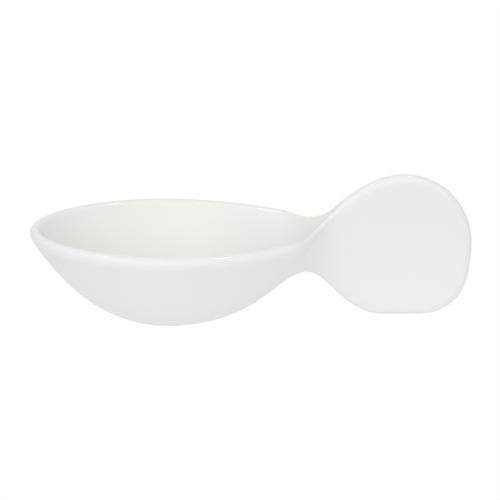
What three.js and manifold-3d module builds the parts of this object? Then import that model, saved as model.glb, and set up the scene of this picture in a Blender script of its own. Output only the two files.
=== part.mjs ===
// A porcelain amuse bouche spoon: a leaf-shaped bowl whose neck closes into an upright disc, which is
// both the handle and the second foot. Millimetres, +Z up, +X towards the handle, with the origin on the
// table under the middle of its length.
import * as THREE from 'three';
import { ParametricGeometry } from 'three/addons/geometries/ParametricGeometry.js';
import { mergeVertices } from 'three/addons/utils/BufferGeometryUtils.js';
import Module from 'manifold-3d';

// Bowl. Distances along the spoon are measured from the bowl's widest section.
const BOWL_WIDTH = 46.6;
const BOWL_NOSE = 36.5; // forward to the tip
const BOWL_TAIL = 49.2; // back to where the two rims would meet
const RIM_HEIGHT = 25.5;
const LIP_ROLL_WIDTH = 3; // the lip is broadly rounded outside
const LIP_ROLL_HEIGHT = 3.6;
const LIP_EDGE_WIDTH = 0.8; // and tightly inside
const LIP_EDGE_HEIGHT = 1;
const FLOOR_THICKNESS = 3.6;

// Neck, where the hollow runs out and the two rims join into the top of the disc
const NECK_START = 31.3;
const NECK_END = 48.1;
const NECK_SWEEP = 9; // how much further back the neck ends at its bottom than at its rim
const NECK_HALF_WIDTH = 4; // where the two rims would meet
const RISE_START = 35; // where the rim leaves its level
const ARCH_AT = 36.7; // top of the arch under the neck
const ARCH_HEIGHT = 13.4;

// Handle disc
const DISC_CENTRE = 63.3; // its highest point
const DISC_REACH = 19.9; // from there to the end of the spoon
const DISC_HEIGHT = 40.4;
const DISC_END_HEIGHT = 18.8; // height of its outermost point
const DISC_THICKNESS = 3.4;
const DISC_EDGE = 2.3; // how far in from its outline the disc reaches full thickness

// How far each curve of the side view runs on level before it turns
const FOOT_RUN = 25.2;
const ARCH_FRONT_RUN = 7.4;
const ARCH_BACK_RUN = 7.5;
const HEEL_RUN = 15.2;
const RISE_RUN = 6.9;
const CROWN_RUN = 12.9;

// Fullness of the rounded forms: 2 is an ellipse, less is more pointed and more is squarer
const PLAN_FULLNESS = 1.91;
const NOSE_FULLNESS = 2.44;
const SIDE_FULLNESS = 2.87;
const HEEL_FULLNESS = 2.94;
const TAIL_POWER = 1.13; // how bluntly the rims run in to the neck

// Making: the feet are ground flat, the disc is luted on with slip, and the glaze stops short of the feet
const GROUND_OFF = 1;
const SLIP_THICKNESS = 0.4;
const GLAZE_THICKNESS = 0.3;
const GLAZE_CLEARANCE = 0.1;
const GLAZE_LINE = 0.4; // height of the glaze's lower edge above the table

// Facets: ribs along the spoon, and points along half a rib
const NOSE_RIBS = 9;
const BODY_RIBS = 34;
const CROWDING = 1.5; // draws the ribs together towards the end of the disc
const WALL_POINTS = 9;
const ROLL_POINTS = 5;
const EDGE_POINTS = 3;
const INSIDE_POINTS = 7;

const QUARTER_TURN = Math.PI / 2;
const DISC_END = DISC_CENTRE + DISC_REACH;
const MIDDLE = (DISC_END - BOWL_NOSE) / 2;
const LIP_POINTS = ROLL_POINTS + EDGE_POINTS;
const TOP_POINTS = LIP_POINTS + INSIDE_POINTS;
const RIB_POINTS = WALL_POINTS + TOP_POINTS;

const wasm = await Module();
wasm.setup();

// A curve of the side view that leaves one level and settles on another
function levelCurve(startX, startZ, startRun, endX, endZ, endRun) {
  return new THREE.CubicBezierCurve(
    new THREE.Vector2(startX, startZ),
    new THREE.Vector2(startX + startRun, startZ),
    new THREE.Vector2(endX - endRun, endZ),
    new THREE.Vector2(endX, endZ),
  );
}

const footToArch = levelCurve(0, -GROUND_OFF, FOOT_RUN, ARCH_AT, ARCH_HEIGHT, ARCH_FRONT_RUN);
const archToHeel = levelCurve(ARCH_AT, ARCH_HEIGHT, ARCH_BACK_RUN, DISC_CENTRE, -GROUND_OFF, HEEL_RUN);
const rimToCrown = levelCurve(RISE_START, RIM_HEIGHT, RISE_RUN, DISC_CENTRE, DISC_HEIGHT, CROWN_RUN);

// A line of the side view at a distance along the spoon: its height there, and the cosine of its slope,
// which turns a height above or below the line into a distance from it
function onCurve(curve, x) {
  const point = new THREE.Vector2();
  let share = 0;
  for (let step = 1 / 2; step > Number.EPSILON; step /= 2) {
    if (curve.getPoint(share + step, point).x < x) share += step;
  }
  return { height: curve.getPoint(share, point).y, cosine: curve.getTangent(share).x };
}

// The same for the disc's outline between its highest or lowest level and its end
function onDiscEnd(x, level, fullness) {
  const out = Math.min((x - DISC_CENTRE) / DISC_REACH, 1);
  const kept = (1 - out ** fullness) ** (1 / fullness);
  const rise = level - DISC_END_HEIGHT;
  const slope = ((rise / DISC_REACH) * out ** (fullness - 1)) / kept ** (fullness - 1);
  return { height: DISC_END_HEIGHT + rise * kept, cosine: 1 / Math.hypot(1, slope) };
}

// Top line: level along the rim, then up over the disc
function crestLine(x) {
  if (x <= RISE_START) return { height: RIM_HEIGHT, cosine: 1 };
  if (x <= DISC_CENTRE) return onCurve(rimToCrown, x);
  return onDiscEnd(x, DISC_HEIGHT, 2);
}

// Bottom line, before the feet are ground: bowl, arch, heel of the disc
function keelLine(x) {
  if (x <= ARCH_AT) return onCurve(footToArch, x);
  if (x <= DISC_CENTRE) return onCurve(archToHeel, x);
  return onDiscEnd(x, -GROUND_OFF, HEEL_FULLNESS);
}

// Half width of the bowl behind its widest section
function tailHalfWidth(x) {
  const share = Math.max(1 - (x / BOWL_TAIL) ** 2, 0) ** TAIL_POWER;
  return THREE.MathUtils.lerp(NECK_HALF_WIDTH, BOWL_WIDTH / 2, share);
}

// How far the bowl has turned into the disc there, from 0 to 1: first at the rim and last at the bottom
function neckClosing(x, point) {
  const depth = Math.cos(Math.min(point / WALL_POINTS, 1) * QUARTER_TURN) ** 2;
  const end = NECK_END + NECK_SWEEP * THREE.MathUtils.smoothstep(depth, 0, 1);
  return THREE.MathUtils.smootherstep(x, NECK_START, end);
}

// Reach and height on a wall between its middle, at angle 0, and its top, at a quarter turn
function wallPoint(angle, reach, bottom, top, fullness) {
  return [reach * Math.sin(angle) ** (2 / fullness), top - (top - bottom) * Math.cos(angle) ** 2];
}

// Reach and height on the lip between the top of a wall, at angle 0, and the crest, at a quarter turn
function lipPoint(angle, wall, lean, width, crest, height) {
  const reach = wall + lean * Math.sin(angle) + width * (1 - Math.cos(angle));
  return [reach, crest - height * (1 - Math.sin(angle))];
}

// Reach and height of a bowl rib: from the keel up the outer wall, over the lip and down to the floor.
// A lean is how much further out a wall would be at the height of the crest.
function bowlRib(point, halfWidth, keel, crest, fullness) {
  const floor = keel + GROUND_OFF + FLOOR_THICKNESS;
  const outerTop = crest - LIP_ROLL_HEIGHT;
  const innerTop = crest - LIP_EDGE_HEIGHT;
  const outerLean = (LIP_ROLL_HEIGHT * halfWidth) / (fullness * (outerTop - keel));
  const outer = halfWidth + LIP_ROLL_WIDTH - Math.hypot(outerLean, LIP_ROLL_WIDTH);
  const corner = outer + outerLean - LIP_ROLL_WIDTH - LIP_EDGE_WIDTH;
  const inner = corner / (1 + LIP_EDGE_HEIGHT / (fullness * (innerTop - floor)));
  if (point <= WALL_POINTS) {
    const angle = (point / WALL_POINTS) * QUARTER_TURN;
    return wallPoint(angle, outer, keel, outerTop, fullness);
  }
  if (point <= WALL_POINTS + ROLL_POINTS) {
    const angle = ((point - WALL_POINTS) / ROLL_POINTS) * QUARTER_TURN;
    return lipPoint(angle, outer, outerLean, -LIP_ROLL_WIDTH, crest, LIP_ROLL_HEIGHT);
  }
  if (point < WALL_POINTS + LIP_POINTS) {
    const angle = ((WALL_POINTS + LIP_POINTS - point) / EDGE_POINTS) * QUARTER_TURN;
    return lipPoint(angle, inner, corner - inner, LIP_EDGE_WIDTH, crest, LIP_EDGE_HEIGHT);
  }
  const angle = ((RIB_POINTS - point) / INSIDE_POINTS) * QUARTER_TURN;
  return wallPoint(angle, inner, floor, innerTop, fullness);
}

// Share of the disc's thickness at a distance in from its outline
function softEdge(distance) {
  return Math.sqrt(1 - Math.exp((-2 * Math.max(distance, 0)) / DISC_EDGE));
}

// Reach and height of a disc rib, from its bottom edge to its top edge
function discRib(point, keel, crest) {
  const edge = Math.min(DISC_EDGE, (crest.height - keel.height) / 2);
  const shoulder = crest.height - edge;
  const angle = (point / WALL_POINTS) * QUARTER_TURN;
  let height = shoulder - (shoulder - keel.height) * Math.cos(angle) ** 2;
  if (point > WALL_POINTS) {
    height = shoulder + edge * Math.sin(((point - WALL_POINTS) / TOP_POINTS) * QUARTER_TURN);
  }
  const fromKeel = (height - keel.height) * keel.cosine;
  const fromCrest = (crest.height - height) * crest.cosine;
  return [(DISC_THICKNESS / 2) * softEdge(fromKeel) * softEdge(fromCrest), height];
}

// A point of the spoon's surface: once around a rib, from keel to keel, and along from tip to disc
function skinPoint(around, along, target) {
  const point = RIB_POINTS * (1 - Math.abs(1 - 2 * around));
  const side = around <= 0.5 ? 1 : -1;
  const rib = along * (NOSE_RIBS + BODY_RIBS);
  if (rib < NOSE_RIBS) {
    const angle = (rib / NOSE_RIBS) * QUARTER_TURN;
    const [forward, height] = bowlRib(point, BOWL_NOSE, -GROUND_OFF, RIM_HEIGHT, NOSE_FULLNESS);
    const [across] = bowlRib(point, BOWL_WIDTH / 2, -GROUND_OFF, RIM_HEIGHT, SIDE_FULLNESS);
    const share = 2 / PLAN_FULLNESS;
    const ahead = forward * Math.cos(angle) ** share;
    return target.set(-ahead, side * across * Math.sin(angle) ** share, height);
  }
  const x = DISC_END * (1 - Math.max(1 - (rib - NOSE_RIBS) / BODY_RIBS, 0) ** CROWDING);
  const closing = neckClosing(x, point);
  const keel = keelLine(x);
  const crest = crestLine(x);
  const halfWidth = tailHalfWidth(x);
  const [bowlReach, bowlHeight] = bowlRib(point, halfWidth, keel.height, crest.height, SIDE_FULLNESS);
  const [discReach, discHeight] = discRib(point, keel, crest);
  const reach = THREE.MathUtils.lerp(bowlReach, discReach, closing);
  return target.set(x, side * reach, THREE.MathUtils.lerp(bowlHeight, discHeight, closing));
}

// Leaves only positions and real triangles, with shared corners merged
function welded(geometry) {
  geometry.deleteAttribute('normal');
  geometry.deleteAttribute('uv');
  const merged = mergeVertices(geometry);
  const corners = merged.index.array;
  const kept = [];
  for (let i = 0; i < corners.length; i += 3) {
    const [a, b, c] = corners.slice(i, i + 3);
    if (a !== b && b !== c && c !== a) kept.push(a, b, c);
  }
  merged.setIndex(kept);
  return merged;
}

// The same closed surface moved inwards everywhere by a depth
function shrunk(geometry, depth) {
  const inner = geometry.clone();
  inner.computeVertexNormals();
  const { position, normal } = inner.attributes;
  const corner = new THREE.Vector3();
  const outward = new THREE.Vector3();
  for (let i = 0; i < position.count; i += 1) {
    outward.fromBufferAttribute(normal, i);
    corner.fromBufferAttribute(position, i).addScaledVector(outward, -depth);
    position.setXYZ(i, corner.x, corner.y, corner.z);
  }
  inner.deleteAttribute('normal');
  return inner;
}

function solidFrom(geometry) {
  const vertProperties = new Float32Array(geometry.attributes.position.array);
  const triVerts = new Uint32Array(geometry.index.array);
  return new wasm.Manifold(new wasm.Mesh({ numProp: 3, vertProperties, triVerts }));
}

function geometryFrom(solid) {
  const { vertProperties, triVerts } = solid.getMesh();
  const geometry = new THREE.BufferGeometry();
  geometry.setAttribute('position', new THREE.BufferAttribute(vertProperties, 3));
  geometry.setIndex(new THREE.BufferAttribute(triVerts, 1));
  geometry.computeVertexNormals();
  return geometry;
}

// A block that spans the spoon with room to spare, between two places along it and two heights
function block(fromX, toX, fromZ, toZ) {
  const geometry = new THREE.BoxGeometry(toX - fromX, 2 * BOWL_WIDTH, toZ - fromZ);
  geometry.translate((fromX + toX) / 2, 0, (fromZ + toZ) / 2);
  return solidFrom(welded(geometry));
}

const LEFT = -2 * BOWL_NOSE;
const RIGHT = 2 * DISC_END;
const BELOW = -DISC_HEIGHT;
const ABOVE = 2 * DISC_HEIGHT;
const JOINT_FRONT = NECK_END - SLIP_THICKNESS / 2;
const JOINT_BACK = NECK_END + SLIP_THICKNESS / 2;

const skin = welded(new ParametricGeometry(skinPoint, 2 * RIB_POINTS, NOSE_RIBS + BODY_RIBS));
const clay = solidFrom(shrunk(skin, GLAZE_THICKNESS + GLAZE_CLEARANCE));
const body = clay.subtract(block(LEFT, RIGHT, BELOW, 0));
const bowl = body.intersect(block(LEFT, JOINT_FRONT, BELOW, ABOVE));
const jointSlip = body.intersect(block(JOINT_FRONT, JOINT_BACK, BELOW, ABOVE));
const handle = body.intersect(block(JOINT_BACK, RIGHT, BELOW, ABOVE));
const coat = solidFrom(skin).subtract(solidFrom(shrunk(skin, GLAZE_THICKNESS)));
const glaze = coat.subtract(block(LEFT, RIGHT, BELOW, GLAZE_LINE));

const barePorcelain = new THREE.MeshStandardMaterial({ color: 0xe8e5dd, roughness: 0.8, metalness: 0 });
const firedSlip = new THREE.MeshStandardMaterial({ color: 0xe2dfd6, roughness: 0.85, metalness: 0 });
const whiteGlaze = new THREE.MeshStandardMaterial({ color: 0xeeeeec, roughness: 0.1, metalness: 0 });

const spoon = new THREE.Group();
spoon.name = 'amuse_bouche_spoon';

function addPiece(name, solid, material) {
  const mesh = new THREE.Mesh(geometryFrom(solid), material);
  mesh.name = name;
  mesh.position.x = -MIDDLE;
  spoon.add(mesh);
}

addPiece('bowl', bowl, barePorcelain);
addPiece('handle', handle, barePorcelain);
addPiece('joint_slip', jointSlip, firedSlip);
addPiece('glaze', glaze, whiteGlaze);

export default spoon;
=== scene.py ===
"""A glazed porcelain amuse bouche spoon in a white studio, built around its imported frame."""
import math
from collections import namedtuple

import bmesh
import bpy
import numpy as np
from mathutils import Matrix, Quaternion, Vector
from mathutils.geometry import interpolate_bezier


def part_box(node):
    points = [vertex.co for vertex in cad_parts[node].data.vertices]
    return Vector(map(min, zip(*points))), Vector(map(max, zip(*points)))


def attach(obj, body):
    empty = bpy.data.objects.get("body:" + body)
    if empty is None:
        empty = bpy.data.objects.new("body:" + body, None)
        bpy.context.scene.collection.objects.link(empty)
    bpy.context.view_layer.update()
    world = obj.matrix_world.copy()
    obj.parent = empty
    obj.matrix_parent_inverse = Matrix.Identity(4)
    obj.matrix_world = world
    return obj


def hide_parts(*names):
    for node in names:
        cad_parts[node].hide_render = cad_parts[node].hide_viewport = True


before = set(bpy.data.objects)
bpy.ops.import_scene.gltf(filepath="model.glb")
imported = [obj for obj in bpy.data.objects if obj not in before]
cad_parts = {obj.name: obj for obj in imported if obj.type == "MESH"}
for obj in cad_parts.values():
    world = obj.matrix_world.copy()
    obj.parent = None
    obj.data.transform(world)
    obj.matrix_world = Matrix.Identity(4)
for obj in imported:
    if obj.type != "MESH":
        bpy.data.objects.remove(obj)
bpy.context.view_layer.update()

bl_info = {
    "name": "Amuse Bouche Spoon",
    "version": (1, 0, 0),
    "blender": (4, 5, 0),
    "location": "View3D > Sidebar > Spoon",
    "description": "Models a glazed porcelain spoon with a disc handle, and its white studio",
    "category": "Add Mesh",
}

MM = 0.001
GLAZE_LOW, GLAZE_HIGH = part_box("glaze")
SLIP_LOW, SLIP_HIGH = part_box("joint_slip")

# Facets: ribs along the spoon, and points along half a rib
NOSE_RIBS = 45
BODY_RIBS = 136
RIBS = NOSE_RIBS + BODY_RIBS
WALL_POINTS = 36
ROLL_POINTS = 14
EDGE_POINTS = 6
INSIDE_POINTS = 28
LIP_POINTS = ROLL_POINTS + EDGE_POINTS
TOP_POINTS = LIP_POINTS + INSIDE_POINTS
POINTS = WALL_POINTS + TOP_POINTS
# Ribs lie closer together towards the disc's end, by this power
CROWDING = 1.5
CURVE_POINTS = 400
CHAMFER_SEGMENTS = 2
FLOOR_SEGMENTS = 4
# Half the side of the unit grid that is bent into the skin
HALF_GRID = 0.5

QUARTER_TURN = math.pi / 2
# Fullness of an ellipse
ELLIPSE = 2
# How steeply the disc thickens from its outline
EDGE_STEEPNESS = 2
# Points nearer than this are joined
WELD = 0.001 * MM
ORIGIN = (0, 0, 0)
UP = (0, 0, 1)
TO_TIP = (-1, 0, 0)
TO_HANDLE = (1, 0, 0)

# The mesh attribute that says how thick the glaze lies, which also sets where the hollow's painted
# light from above is strongest
POOL = "glaze_pool"
WHITE = (1, 1, 1, 1)
# Sockets of the Mix node, whose names don't tell its colours from its numbers
MIX_FACTOR = 0
MIX_FIRST_COLOUR = 6
MIX_SECOND_COLOUR = 7
MIXED_COLOUR = 2


def length(name, description, metres):
    return bpy.props.FloatProperty(
        name=name, description=description, default=metres, unit="LENGTH", precision=5
    )


def number(name, description, default):
    return bpy.props.FloatProperty(name=name, description=description, default=default)


def angle(name, description, degrees):
    return bpy.props.FloatProperty(
        name=name, description=description, default=math.radians(degrees), subtype="ANGLE"
    )


def colour(name, description, default):
    return bpy.props.FloatVectorProperty(
        name=name, description=description, default=default, size=3, min=0, max=1, subtype="COLOR"
    )


class SpoonForm(bpy.types.PropertyGroup):
    """Sizes of the spoon. Distances along it are measured from the bowl's widest section."""

    bowl_width: length("Bowl width", "Across both rims where widest", GLAZE_HIGH.y - GLAZE_LOW.y)
    bowl_nose: length("Bowl nose", "From the widest section to the tip", 36.5 * MM)
    bowl_tail: length("Bowl tail", "From the widest section to where the rims would meet", 49.2 * MM)
    rim_height: length("Rim height", "Height of the rim above the table", 25.5 * MM)
    roll_width: length("Roll width", "Width of the lip's broad rounding outside", 3 * MM)
    roll_height: length("Roll height", "Height of the lip's broad rounding outside", 3.6 * MM)
    edge_width: length("Edge width", "Width of the lip's tight rounding inside", 0.8 * MM)
    edge_height: length("Edge height", "Height of the lip's tight rounding inside", 1 * MM)
    neck_half_width: length("Neck half width", "Half the width where the rims would meet", 4 * MM)
    floor_thickness: length("Floor thickness", "Thickness of the bowl above its ground foot", 3.6 * MM)
    neck_start: length("Neck start", "Where the hollow begins to close", 31.3 * MM)
    neck_end: length("Neck end", "Where the disc begins, at the rim", 48.1 * MM)
    neck_sweep: length("Neck sweep", "How much further out the disc begins at its bottom", 9 * MM)
    rise_start: length("Rise start", "Where the rim leaves its level", 35 * MM)
    arch_at: length("Arch position", "Top of the arch under the neck", 36.7 * MM)
    arch_height: length("Arch height", "Height of the arch above the table", 13.4 * MM)
    disc_centre: length("Disc centre", "The disc's highest point", 63.3 * MM)
    disc_reach: length("Disc reach", "From the disc's highest point to its end", 19.9 * MM)
    disc_height: length("Disc height", "Height of the disc above the table", 40.4 * MM)
    disc_end_height: length("Disc end height", "Height of the disc's outermost point", 18.8 * MM)
    disc_thickness: length("Disc thickness", "Thickness of the disc", 3.4 * MM)
    disc_edge: length("Disc edge", "How far in from its outline the disc is nearly full", 2.3 * MM)
    foot_run: length("Foot run", "How far the bowl's underside runs on level", 25.2 * MM)
    arch_front_run: length("Arch front run", "How far the arch runs level towards the bowl", 7.4 * MM)
    arch_back_run: length("Arch back run", "How far the arch runs level towards the disc", 7.5 * MM)
    heel_run: length("Heel run", "How far the disc's underside runs on level", 15.2 * MM)
    rise_run: length("Rise run", "How far the rim runs on before it rises", 6.9 * MM)
    crown_run: length("Crown run", "How far the disc's top runs level", 12.9 * MM)
    plan_fullness: number("Plan fullness", "Fullness of the nose from above: 2 is an ellipse", 1.91)
    nose_fullness: number("Nose fullness", "Fullness of the nose from the side: 2 is an ellipse", 2.44)
    side_fullness: number("Side fullness", "Fullness of the bowl's section: 2 is an ellipse", 2.87)
    heel_fullness: number("Heel fullness", "Fullness of the disc's lower end: 2 is an ellipse", 2.94)
    tail_power: number("Tail power", "How bluntly the rims run in to the neck", 1.13)
    ground_off: length("Ground off", "Depth that is ground off under the feet", 1 * MM)
    glaze_thickness: length("Glaze thickness", "Thickness of the glaze", 0.3 * MM)
    glaze_line: length("Glaze line", "Height of the glaze's lower edge", GLAZE_LOW.z)
    foot_chamfer: length("Foot chamfer", "Softened edge of the ground feet", 0.15 * MM)


class SpoonFinish(bpy.types.PropertyGroup):
    """Colours and surfaces. Distances along the spoon are measured from its middle."""

    glaze: colour("Glaze", "Colour of the glazed porcelain", (0.86, 0.86, 0.845))
    # Painted light: a cool, slightly darker tint round the bowl's tip stands for the colour of the
    # light falling from the left
    painted_tip_light: colour("Tip glaze", "Colour of the glaze round the bowl's tip", (0.842, 0.86, 0.852))
    tip_start: length("Tip start", "Where the tip's colour begins", -34 * MM)
    tip_full: length("Tip full", "Where the tip's colour is full", -46 * MM)
    # The hollow's colour is partly the glaze's own green where it lies thick, and partly painted light:
    # a brightness that stands for light falling from above into the hollow. It fades out towards the
    # neck, so the hollow's end there stays darker
    pooled_tint_and_painted_light: colour("Pooled glaze", "Colour of thick glaze, in the hollow", (0.885, 0.905, 0.858))
    pooled_and_lit_start: length("Pooled start", "Where the hollow's colour begins", 2 * MM)
    pooled_and_lit_full: length("Pooled full", "Where the hollow's colour is full", -18 * MM)
    pooled_and_lit_depth: number("Pooled depth", "Share of the depth that gives the hollow's full colour", 0.5)
    cloud_shift: number("Cloud shift", "How much the clouds add to that share", 0.2)
    cloud_spacing: length("Cloud spacing", "From one cloud in the glaze to the next", 22 * MM)
    swell_spacing: length("Swell spacing", "From one swell of the glaze to the next", 7 * MM)
    dimple_spacing: length("Dimple spacing", "From one dimple of the glaze to the next", 1.6 * MM)
    dimple_share: number("Dimple share", "Share of the dimples in the glaze's unevenness", 0.2)
    unevenness: length("Unevenness", "Height of the glaze's swells and dimples", 0.02 * MM)
    glaze_roughness: number("Glaze roughness", "Least roughness of the glaze", 0.06)
    cloud_roughness: number("Cloud roughness", "How much the clouds add to the roughness", 0.06)
    glaze_index: number("Glaze index", "Refractive index of the glaze", 1.52)
    clay: colour("Bare porcelain", "Colour of the unglazed, ground feet", (0.9, 0.89, 0.86))
    stain: colour("Foot stain", "Colour of a table's marks on the feet", (0.68, 0.66, 0.62))
    stain_strength: number("Stain strength", "Share of the stain's colour in a mark", 0.55)
    stain_start: number("Stain start", "Level of the blotches where a mark begins", 0.52)
    stain_full: number("Stain full", "Level of the blotches where a mark is full", 0.78)
    blotch_spacing: length("Blotch spacing", "From one mark on the feet to the next", 3 * MM)
    grain_spacing: length("Grain spacing", "From one grain of the clay to the next", 0.25 * MM)
    grain_depth: length("Grain depth", "Depth of the clay's grain", 0.03 * MM)
    clay_roughness: number("Clay roughness", "Least roughness of the clay", 0.7)
    grain_roughness: number("Grain roughness", "How much the grain adds to the roughness", 0.2)
    clay_index: number("Clay index", "Refractive index of the clay", 1.5)


class SpoonStage(bpy.types.PropertyGroup):
    """Camera and light."""

    camera_distance: length("Camera distance", "From the camera to the middle of the picture", 0.5)
    camera_elevation: angle("Camera elevation", "Angle of the camera above the table", 22)
    camera_azimuth: angle("Camera azimuth", "Angle of the camera round the spoon", -6.04)
    camera_roll: angle("Camera roll", "Turn of the camera about its own axis", 2.03)
    camera_lens: number("Camera lens", "Focal length in millimetres for a 36 mm frame", 133.3)
    aim_x: length("Aim along", "Middle of the picture, along the spoon", -0.89 * MM)
    aim_z: length("Aim height", "Middle of the picture, above the table", 18.77 * MM)
    surround: number("Surround", "Even light of the white tent", 0.528)
    floor_reach: length("Floor reach", "From the middle of the floor to its sides", 6)
    floor_drop: length("Floor drop", "How far the floor lies below the feet", 0.05 * MM)
    floor_tone: number("Floor tone", "How much light the floor throws back", 0.1)
    floor_glow: number("Floor glow", "Light from the floor all over", 0.33)
    pool_glow: number("Pool glow", "Light that the floor adds round the spoon", 0.42)
    pool_radius: length("Pool radius", "How far the brighter floor reaches", 0.3)
    lamp_distance: length("Lamp distance", "From each lamp to the spoon", 0.8)
    lamp_size: length("Lamp size", "Width of each lamp", 0.08)


TentPanel = namedtuple("TentPanel", "azimuth elevation strength")
# Broad bright parts of the white light tent, as degrees round and above the spoon
TENT = (
    TentPanel(-45, 20, 0.52),
    TentPanel(0, 15, 0.64),
    TentPanel(45, 30, 0.14),
    TentPanel(180, 5, 0.38),
)
# How closely a panel's light keeps to its middle
PANEL_FOCUS = 6

Lamp = namedtuple("Lamp", "name azimuth elevation watts")
# Small round lamps, whose glints show on the lip
LAMPS = (
    Lamp("left_lamp", -66, 63, 0.3),
    Lamp("right_lamp", 58, 68, 0.32),
)

Line = namedtuple("Line", "height cosine")
Rib = namedtuple("Rib", "x keel crest half_width")


def ease(share):
    """Goes from 0 to 1 with level ends."""
    return share**2 * (3 - 2 * share)


def slow_ease(share):
    """Goes from 0 to 1 with level ends that bend away gently."""
    return share**3 * (share * (6 * share - 15) + 10)


class Skin:
    """The spoon's glazed surface, with a place for each rib along it and each point up half a rib."""

    def __init__(self, form):
        self.form = form
        self.ribs = {}
        self.disc_end = form.disc_centre + form.disc_reach
        self.middle = (self.disc_end - form.bowl_nose) / 2
        foot = (0, -form.ground_off)
        arch = (form.arch_at, form.arch_height)
        heel = (form.disc_centre, -form.ground_off)
        rim = (form.rise_start, form.rim_height)
        crown = (form.disc_centre, form.disc_height)
        self.foot_to_arch = self.level_curve(foot, form.foot_run, arch, form.arch_front_run)
        self.arch_to_heel = self.level_curve(arch, form.arch_back_run, heel, form.heel_run)
        self.rim_to_crown = self.level_curve(rim, form.rise_run, crown, form.crown_run)

    @staticmethod
    def level_curve(start, start_run, end, end_run):
        """Distances, heights and slopes of a side-view curve from one level to another."""
        knots = (start, (start[0] + start_run, start[1]), (end[0] - end_run, end[1]), end)
        points = np.array(interpolate_bezier(*[Vector((x, z, 0)) for x, z in knots], CURVE_POINTS))
        return points[:, 0], points[:, 1], np.gradient(points[:, 1], points[:, 0])

    @staticmethod
    def on_curve(curve, x):
        distances, heights, slopes = curve
        slope = np.interp(x, distances, slopes)
        return Line(np.interp(x, distances, heights), 1 / math.hypot(1, slope))

    def on_disc_end(self, x, level, fullness):
        """The disc's outline between its highest or lowest level and its end."""
        form = self.form
        out = min((x - form.disc_centre) / form.disc_reach, 1)
        kept = max(1 - out**fullness, 0) ** (1 / fullness)
        rise = level - form.disc_end_height
        if kept == 0:
            return Line(form.disc_end_height, 0)
        slope = rise / form.disc_reach * (out / kept) ** (fullness - 1)
        return Line(form.disc_end_height + rise * kept, 1 / math.hypot(1, slope))

    def crest_line(self, x):
        form = self.form
        if x <= form.rise_start:
            return Line(form.rim_height, 1)
        if x <= form.disc_centre:
            return self.on_curve(self.rim_to_crown, x)
        return self.on_disc_end(x, form.disc_height, ELLIPSE)

    def keel_line(self, x):
        form = self.form
        if x <= form.arch_at:
            return self.on_curve(self.foot_to_arch, x)
        if x <= form.disc_centre:
            return self.on_curve(self.arch_to_heel, x)
        return self.on_disc_end(x, -form.ground_off, form.heel_fullness)

    def tail_half_width(self, x):
        form = self.form
        share = max(1 - (x / form.bowl_tail) ** 2, 0) ** form.tail_power
        return form.neck_half_width + (form.bowl_width / 2 - form.neck_half_width) * share

    def body_rib(self, index):
        """The rib with that number, behind the widest section."""
        if index not in self.ribs:
            left = 1 - (index - NOSE_RIBS) / BODY_RIBS
            x = self.disc_end * (1 - left**CROWDING)
            self.ribs[index] = Rib(x, self.keel_line(x), self.crest_line(x), self.tail_half_width(x))
        return self.ribs[index]

    def closing(self, rib, point):
        """How far the bowl has turned into the disc there, from 0 to 1. The bottom turns last."""
        form = self.form
        if rib < NOSE_RIBS:
            return 0
        depth = math.cos(min(point / WALL_POINTS, 1) * QUARTER_TURN) ** 2
        end = form.neck_end + form.neck_sweep * ease(depth)
        share = (self.body_rib(rib).x - form.neck_start) / (end - form.neck_start)
        return slow_ease(min(max(share, 0), 1))

    @staticmethod
    def wall_point(turn, reach, bottom, top, fullness):
        """A point on a wall between its middle, at turn 0, and its top, at a quarter turn."""
        height = top - (top - bottom) * math.cos(turn) ** 2
        return Vector((reach * math.sin(turn) ** (2 / fullness), height))

    @staticmethod
    def rounding(turn, wall, lean, width, crest, height):
        """A point of the lip between the top of a wall, at turn 0, and the crest, at a quarter turn."""
        reach = wall + lean * math.sin(turn) + width * (1 - math.cos(turn))
        return Vector((reach, crest - height * (1 - math.sin(turn))))

    def bowl_point(self, point, half_width, keel, crest, fullness):
        """Reach and height on a bowl rib: up the outer wall, over the lip and down to the floor."""
        form = self.form
        floor = keel + form.ground_off + form.floor_thickness
        outer_top = crest - form.roll_height
        inner_top = crest - form.edge_height
        # Each wall would lean out this much more by the height of the crest
        outer_lean = form.roll_height * half_width / (fullness * (outer_top - keel))
        outer = half_width + form.roll_width - math.hypot(outer_lean, form.roll_width)
        corner = outer + outer_lean - form.roll_width - form.edge_width
        inner = corner / (1 + form.edge_height / (fullness * (inner_top - floor)))
        if point <= WALL_POINTS:
            turn = point / WALL_POINTS * QUARTER_TURN
            return self.wall_point(turn, outer, keel, outer_top, fullness)
        if point <= WALL_POINTS + ROLL_POINTS:
            turn = (point - WALL_POINTS) / ROLL_POINTS * QUARTER_TURN
            return self.rounding(turn, outer, outer_lean, -form.roll_width, crest, form.roll_height)
        if point < WALL_POINTS + LIP_POINTS:
            turn = (WALL_POINTS + LIP_POINTS - point) / EDGE_POINTS * QUARTER_TURN
            return self.rounding(turn, inner, corner - inner, form.edge_width, crest, form.edge_height)
        turn = (POINTS - point) / INSIDE_POINTS * QUARTER_TURN
        return self.wall_point(turn, inner, floor, inner_top, fullness)

    def soft_edge(self, distance):
        """Share of the disc's thickness at a distance in from its outline."""
        return math.sqrt(1 - math.exp(-EDGE_STEEPNESS * max(distance, 0) / self.form.disc_edge))

    def disc_point(self, point, keel, crest):
        """Reach and height on a disc rib, from its bottom edge to its top edge."""
        form = self.form
        edge = min(form.disc_edge, (crest.height - keel.height) / 2)
        shoulder = crest.height - edge
        if point <= WALL_POINTS:
            turn = point / WALL_POINTS * QUARTER_TURN
            height = shoulder - (shoulder - keel.height) * math.cos(turn) ** 2
        else:
            height = shoulder + edge * math.sin((point - WALL_POINTS) / TOP_POINTS * QUARTER_TURN)
        from_keel = self.soft_edge((height - keel.height) * keel.cosine)
        from_crest = self.soft_edge((crest.height - height) * crest.cosine)
        return Vector((form.disc_thickness / 2 * from_keel * from_crest, height))

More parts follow.
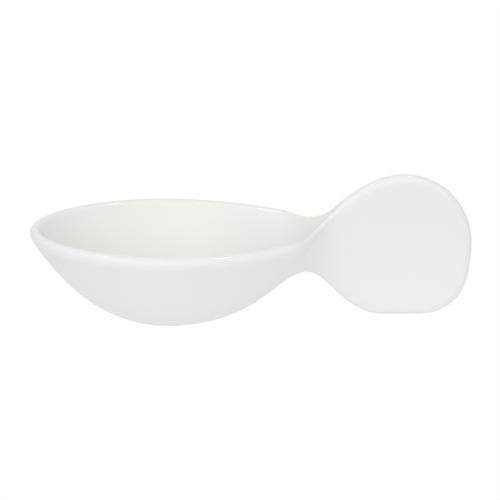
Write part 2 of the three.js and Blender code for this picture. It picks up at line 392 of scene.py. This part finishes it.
    def nose_place(self, rib, point):
        form = self.form
        turn = rib / NOSE_RIBS * QUARTER_TURN
        share = 2 / form.plan_fullness
        levels = (-form.ground_off, form.rim_height)
        forward, height = self.bowl_point(point, form.bowl_nose, *levels, form.nose_fullness)
        across, height = self.bowl_point(point, form.bowl_width / 2, *levels, form.side_fullness)
        return Vector((-forward * math.cos(turn) ** share, across * math.sin(turn) ** share, height))

    def body_place(self, rib, point):
        x, keel, crest, half_width = self.body_rib(rib)
        closing = self.closing(rib, point)
        disc = self.disc_point(point, keel, crest)
        if closing == 1:
            return Vector((x, *disc))
        bowl = self.bowl_point(point, half_width, keel.height, crest.height, self.form.side_fullness)
        reach, height = bowl.lerp(disc, closing)
        return Vector((x, reach, height))

    def place(self, rib, point):
        """A point of the surface in the row frame."""
        made = self.nose_place(rib, point) if rib < NOSE_RIBS else self.body_place(rib, point)
        return made - Vector((self.middle, 0, 0))

    def pool(self, rib, point):
        """How thick the glaze lies there: 0 on the outside and up to 1 on the floor of the hollow."""
        if point <= WALL_POINTS + LIP_POINTS:
            return 0
        form = self.form
        depth = form.rim_height - self.place(rib, point).z
        return (1 - self.closing(rib, point)) * depth / (form.rim_height - form.floor_thickness)


def all_of(mesh):
    return mesh.verts[:] + mesh.edges[:] + mesh.faces[:]


def spoon_skin(form):
    """The closed outer surface: a grid bent to half of the spoon, mirrored and welded."""
    skin = Skin(form)
    mesh = bmesh.new()
    bmesh.ops.create_grid(mesh, x_segments=RIBS, y_segments=POINTS, size=HALF_GRID)
    pool = mesh.verts.layers.float.new(POOL)
    for vert in mesh.verts:
        rib = round((vert.co.x + HALF_GRID) * RIBS)
        point = round((vert.co.y + HALF_GRID) * POINTS)
        vert.co = skin.place(rib, point)
        vert[pool] = skin.pool(rib, point)
    bmesh.ops.mirror(mesh, geom=all_of(mesh), matrix=Matrix.Identity(4), merge_dist=WELD, axis="Y")
    bmesh.ops.remove_doubles(mesh, verts=mesh.verts[:], dist=WELD)
    bmesh.ops.dissolve_degenerate(mesh, edges=mesh.edges[:], dist=WELD)
    bmesh.ops.recalc_face_normals(mesh, faces=mesh.faces[:])
    for face in mesh.faces:
        face.smooth = True
    return mesh


def shrink(mesh, depth):
    """Moves a closed surface inwards everywhere by a depth."""
    mesh.normal_update()
    for vert in mesh.verts:
        vert.co -= vert.normal * depth


def keep_side(mesh, point, normal):
    """Cuts the mesh with a plane and keeps the side that the normal points to."""
    bmesh.ops.bisect_plane(
        mesh, geom=all_of(mesh), dist=WELD, plane_co=point, plane_no=normal, clear_inner=True
    )


def cap(mesh):
    """Closes the cut holes with flat faces and gives back their edges."""
    rims = [edge for edge in mesh.edges if edge.is_boundary]
    made = bmesh.ops.holes_fill(mesh, edges=rims, sides=0)
    for face in made["faces"]:
        face.smooth = False
    for edge in rims:
        edge.smooth = False
    return rims


def soften(mesh, edges, width):
    bmesh.ops.bevel(
        mesh, geom=edges, offset=width, offset_type="OFFSET", segments=CHAMFER_SEGMENTS, profile=0.5,
        affect="EDGES", material=-1, clamp_overlap=True
    )


def clay_body(form):
    """The clay under the glaze, with its feet ground flat."""
    mesh = spoon_skin(form)
    shrink(mesh, form.glaze_thickness)
    keep_side(mesh, ORIGIN, UP)
    soften(mesh, cap(mesh), form.foot_chamfer)
    return mesh


def add_piece(mesh, name, node, material):
    """Puts a finished mesh into the scene in place of its CAD node."""
    data = bpy.data.meshes.new(name)
    mesh.to_mesh(data)
    mesh.free()
    data.materials.append(material)
    piece = bpy.data.objects.new(name, data)
    bpy.context.scene.collection.objects.link(piece)
    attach(piece, "root")
    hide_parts(node)


class Value:
    """A shader socket that takes part in sums: each operator adds its Math node."""

    def __init__(self, finish, socket):
        self.finish = finish
        self.socket = socket

    def sum(self, operation, first, second):
        return self.finish.node("ShaderNodeMath", {"operation": operation}, {0: first, 1: second})

    def __add__(self, other):
        return self.sum("ADD", self, other)

    def __radd__(self, other):
        return self.sum("ADD", other, self)

    def __rsub__(self, other):
        return self.sum("SUBTRACT", other, self)

    def __mul__(self, other):
        return self.sum("MULTIPLY", self, other)

    def __rmul__(self, other):
        return self.sum("MULTIPLY", other, self)

    def __pow__(self, other):
        return self.sum("POWER", self, other)

    def __rpow__(self, other):
        return self.sum("POWER", other, self)


class Finish:
    """A node tree that is filled one node at a time."""

    def __init__(self, tree):
        self.tree = tree
        tree.nodes.clear()

    def node(self, kind, settings=None, sockets=None, output=0):
        made = self.tree.nodes.new(kind)
        for name, setting in (settings or {}).items():
            setattr(made, name, setting)
        for name, value in (sockets or {}).items():
            if isinstance(value, Value):
                self.tree.links.new(value.socket, made.inputs[name])
            else:
                made.inputs[name].default_value = value
        return Value(self, made.outputs[output]) if made.outputs else made

    def place(self):
        return self.node("ShaderNodeTexCoord", output="Object")

    def noise(self, place, spacing, detail):
        """Soft noise between 0 and 1 whose swells lie that far apart."""
        sockets = {"Vector": place, "Scale": 1 / spacing, "Detail": detail}
        return self.node("ShaderNodeTexNoise", None, sockets)

    def blend(self, mask, first, second):
        """The first colour where the mask is 0, and the second where it is 1."""
        sockets = {MIX_FACTOR: mask, MIX_FIRST_COLOUR: first, MIX_SECOND_COLOUR: second}
        return self.node("ShaderNodeMix", {"data_type": "RGBA"}, sockets, output=MIXED_COLOUR)

    def ramp(self, value, start, full):
        """0 up to start, 1 beyond full, and a soft change between them."""
        settings = {"interpolation_type": "SMOOTHSTEP"}
        sockets = {"Value": value, "From Min": start, "From Max": full}
        return self.node("ShaderNodeMapRange", settings, sockets)

    def surface(self, tint, roughness, index, height, depth):
        """Finishes a material, with bumps of that depth where height goes from 0 to 1."""
        bump = self.node("ShaderNodeBump", None, {"Strength": 1, "Distance": depth, "Height": height})
        shader = self.node("ShaderNodeBsdfPrincipled", None, {
            "Base Color": tint,
            "Roughness": roughness,
            "IOR": index,
            "Normal": bump,
        })
        self.node("ShaderNodeOutputMaterial", None, {"Surface": shader})


def opaque(rgb):
    return (*rgb, 1)


def new_finish(name):
    material = bpy.data.materials.new(name)
    material.use_nodes = True
    return material, Finish(material.node_tree)


def glazed_porcelain(look):
    """Clear glossy glaze over white clay: gently uneven, a little greener where it lies thick, with
    painted light from above brightening the hollow and a painted cool tint of the left light round the
    tip.
    """
    material, finish = new_finish("glazed_porcelain")
    place = finish.place()
    pool = finish.node("ShaderNodeAttribute", {"attribute_name": POOL}, output="Fac")
    clouds = finish.noise(place, look.cloud_spacing, detail=2)
    swells = finish.noise(place, look.swell_spacing, detail=1)
    dimples = finish.noise(place, look.dimple_spacing, detail=1)
    along = finish.node("ShaderNodeSeparateXYZ", None, {"Vector": place}, output="X")
    # Painted light round the tip: the cool tint of the light from the left, put into the glaze's colour
    tip = finish.ramp(along, look.tip_start, look.tip_full)
    thin = finish.blend(tip, opaque(look.glaze), opaque(look.painted_tip_light))
    # Thick glaze in the hollow: its own green, and painted light from above that brightens it, fading
    # out towards the neck
    deep = finish.ramp(pool + look.cloud_shift * clouds, 0, look.pooled_and_lit_depth)
    thick = deep * finish.ramp(along, look.pooled_and_lit_start, look.pooled_and_lit_full)
    tint = finish.blend(thick, thin, opaque(look.pooled_tint_and_painted_light))
    roughness = look.glaze_roughness + look.cloud_roughness * clouds
    height = (1 - look.dimple_share) * swells + look.dimple_share * dimples
    finish.surface(tint, roughness, look.glaze_index, height, look.unevenness)
    return material


def bare_porcelain(look):
    """Ground, unglazed clay: matt and finely grained, with grey marks from tables."""
    material, finish = new_finish("bare_porcelain")
    place = finish.place()
    grain = finish.noise(place, look.grain_spacing, detail=3)
    blotches = finish.noise(place, look.blotch_spacing, detail=3)
    marks = finish.ramp(blotches, look.stain_start, look.stain_full)
    tint = finish.blend(look.stain_strength * marks, opaque(look.clay), opaque(look.stain))
    roughness = look.clay_roughness + look.grain_roughness * grain
    finish.surface(tint, roughness, look.clay_index, grain, look.grain_depth)
    return material


class SpoonOperator(bpy.types.Operator):
    """What the spoon's operators share."""

    bl_options = {"REGISTER", "UNDO"}


class OBJECT_OT_spoon_bowl(SpoonOperator):
    """Models the clay body of the bowl, down to its ground foot"""

    bl_idname = "object.spoon_bowl"
    bl_label = "Bowl"

    def execute(self, context):
        mesh = clay_body(context.scene.spoon_form)
        material = bare_porcelain(context.scene.spoon_finish)
        keep_side(mesh, SLIP_LOW, TO_TIP)
        cap(mesh)
        add_piece(mesh, "bowl_clay", "bowl", material)
        return {"FINISHED"}


class OBJECT_OT_spoon_handle(SpoonOperator):
    """Models the clay body of the disc handle, down to its ground foot"""

    bl_idname = "object.spoon_handle"
    bl_label = "Handle"

    def execute(self, context):
        mesh = clay_body(context.scene.spoon_form)
        material = bare_porcelain(context.scene.spoon_finish)
        keep_side(mesh, SLIP_HIGH, TO_HANDLE)
        cap(mesh)
        add_piece(mesh, "handle_clay", "handle", material)
        return {"FINISHED"}


class OBJECT_OT_spoon_slip(SpoonOperator):
    """Models the thin layer of slip that joins the handle to the bowl"""

    bl_idname = "object.spoon_slip"
    bl_label = "Joint slip"

    def execute(self, context):
        mesh = clay_body(context.scene.spoon_form)
        material = bare_porcelain(context.scene.spoon_finish)
        keep_side(mesh, SLIP_LOW, TO_HANDLE)
        keep_side(mesh, SLIP_HIGH, TO_TIP)
        cap(mesh)
        add_piece(mesh, "slip_layer", "joint_slip", material)
        return {"FINISHED"}


class OBJECT_OT_spoon_glaze(SpoonOperator):
    """Models the coat of glaze, which stops just above the ground feet"""

    bl_idname = "object.spoon_glaze"
    bl_label = "Glaze"

    def execute(self, context):
        form = context.scene.spoon_form
        mesh = spoon_skin(form)
        material = glazed_porcelain(context.scene.spoon_finish)
        keep_side(mesh, (0, 0, form.glaze_line), UP)
        bmesh.ops.solidify(mesh, geom=mesh.faces[:], thickness=form.glaze_thickness)
        add_piece(mesh, "glaze_coat", "glaze", material)
        return {"FINISHED"}


def away(azimuth, elevation):
    """Direction from the spoon to something round it. Azimuth 0 is the front."""
    level = math.cos(elevation)
    return Vector((math.sin(azimuth) * level, -math.cos(azimuth) * level, math.sin(elevation)))


class SCENE_OT_spoon_stage(SpoonOperator):
    """Sets up the white floor, the soft light and the camera"""

    bl_idname = "scene.spoon_stage"
    bl_label = "Studio"

    def execute(self, context):
        stage = context.scene.spoon_stage
        context.scene.view_settings.view_transform = "Standard"
        self.add_floor(context, stage)
        self.add_surroundings(context, stage)
        for lamp in LAMPS:
            self.add_lamp(context, stage, lamp)
        self.add_camera(context, stage)
        return {"FINISHED"}

    def add_floor(self, context, stage):
        mesh = bmesh.new()
        bmesh.ops.create_grid(
            mesh, x_segments=FLOOR_SEGMENTS, y_segments=FLOOR_SEGMENTS, size=stage.floor_reach
        )
        bmesh.ops.translate(mesh, verts=mesh.verts[:], vec=(0, 0, -stage.floor_drop))
        data = bpy.data.meshes.new("floor")
        mesh.to_mesh(data)
        mesh.free()
        material, finish = new_finish("white_floor")
        seen = finish.node("ShaderNodeLightPath", output="Is Camera Ray")
        tone = stage.floor_tone
        cloth = finish.node("ShaderNodeBsdfDiffuse", None, {"Color": (tone, tone, tone, 1)})
        settings = {"operation": "DISTANCE"}
        ends = {0: finish.place(), 1: ORIGIN}
        distance = finish.node("ShaderNodeVectorMath", settings, ends, output="Value")
        share = distance * (1 / stage.pool_radius)
        pool = stage.pool_glow * math.e ** (-1 * share * share)
        glow = finish.node("ShaderNodeEmission", None, {
            "Color": WHITE,
            "Strength": stage.floor_glow + pool,
        })
        lit = finish.node("ShaderNodeAddShader", None, {0: cloth, 1: glow})
        white = finish.node("ShaderNodeEmission", None, {"Color": WHITE, "Strength": 1})
        shader = finish.node("ShaderNodeMixShader", None, {"Fac": seen, 1: lit, 2: white})
        finish.node("ShaderNodeOutputMaterial", None, {"Surface": shader})
        data.materials.append(material)
        floor = bpy.data.objects.new("floor", data)
        context.scene.collection.objects.link(floor)

    def add_surroundings(self, context, stage):
        world = bpy.data.worlds.new("white_surroundings")
        world.use_nodes = True
        finish = Finish(world.node_tree)
        seen = finish.node("ShaderNodeLightPath", output="Is Camera Ray")
        sight = finish.node("ShaderNodeTexCoord", output="Generated")
        glow = stage.surround
        for panel in TENT:
            axis = away(math.radians(panel.azimuth), math.radians(panel.elevation))
            settings = {"operation": "DOT_PRODUCT"}
            facing = finish.node("ShaderNodeVectorMath", settings, {0: sight, 1: axis}, output="Value")
            # From -1 to 1 becomes from 0 to 1
            near = 0.5 * facing + 0.5
            glow = glow + panel.strength * near**PANEL_FOCUS
        shader = finish.node("ShaderNodeBackground", None, {
            "Color": WHITE,
            "Strength": glow + (1 - glow) * seen,
        })
        finish.node("ShaderNodeOutputWorld", None, {"Surface": shader})
        context.scene.world = world

    def add_lamp(self, context, stage, lamp):
        data = bpy.data.lights.new(lamp.name, "AREA")
        data.shape = "DISK"
        data.size = stage.lamp_size
        data.energy = lamp.watts
        light = bpy.data.objects.new(lamp.name, data)
        back = away(math.radians(lamp.azimuth), math.radians(lamp.elevation))
        light.location = back * stage.lamp_distance
        light.rotation_mode = "QUATERNION"
        light.rotation_quaternion = back.to_track_quat("Z", "Y")
        light.visible_camera = False
        context.scene.collection.objects.link(light)

    def add_camera(self, context, stage):
        data = bpy.data.cameras.new("camera")
        data.lens = stage.camera_lens
        camera = bpy.data.objects.new("camera", data)
        back = away(stage.camera_azimuth, stage.camera_elevation)
        aim = Vector((stage.aim_x, 0, stage.aim_z))
        camera.location = aim + back * stage.camera_distance
        camera.rotation_mode = "QUATERNION"
        level = (-back).to_track_quat("-Z", "Y")
        camera.rotation_quaternion = level @ Quaternion(UP, stage.camera_roll)
        context.scene.collection.objects.link(camera)
        context.scene.camera = camera


class VIEW3D_PT_spoon(bpy.types.Panel):
    """Lists the spoon's pieces"""

    bl_idname = "VIEW3D_PT_spoon"
    bl_label = "Amuse Bouche Spoon"
    bl_space_type = "VIEW_3D"
    bl_region_type = "UI"
    bl_category = "Spoon"

    def draw(self, context):
        for operator in OPERATORS:
            self.layout.operator(operator.bl_idname)


OPERATORS = (
    OBJECT_OT_spoon_bowl,
    OBJECT_OT_spoon_handle,
    OBJECT_OT_spoon_slip,
    OBJECT_OT_spoon_glaze,
    SCENE_OT_spoon_stage,
)
CLASSES = (SpoonForm, SpoonFinish, SpoonStage, *OPERATORS, VIEW3D_PT_spoon)
SETTINGS = {"spoon_form": SpoonForm, "spoon_finish": SpoonFinish, "spoon_stage": SpoonStage}


def register():
    for made in CLASSES:
        bpy.utils.register_class(made)
    for name, group in SETTINGS.items():
        setattr(bpy.types.Scene, name, bpy.props.PointerProperty(type=group))


def unregister():
    for name in SETTINGS:
        delattr(bpy.types.Scene, name)
    for made in reversed(CLASSES):
        bpy.utils.unregister_class(made)


def main():
    register()
    bpy.ops.object.spoon_bowl()
    bpy.ops.object.spoon_handle()
    bpy.ops.object.spoon_slip()
    bpy.ops.object.spoon_glaze()
    bpy.ops.scene.spoon_stage()


if __name__ == "__main__":
    main()
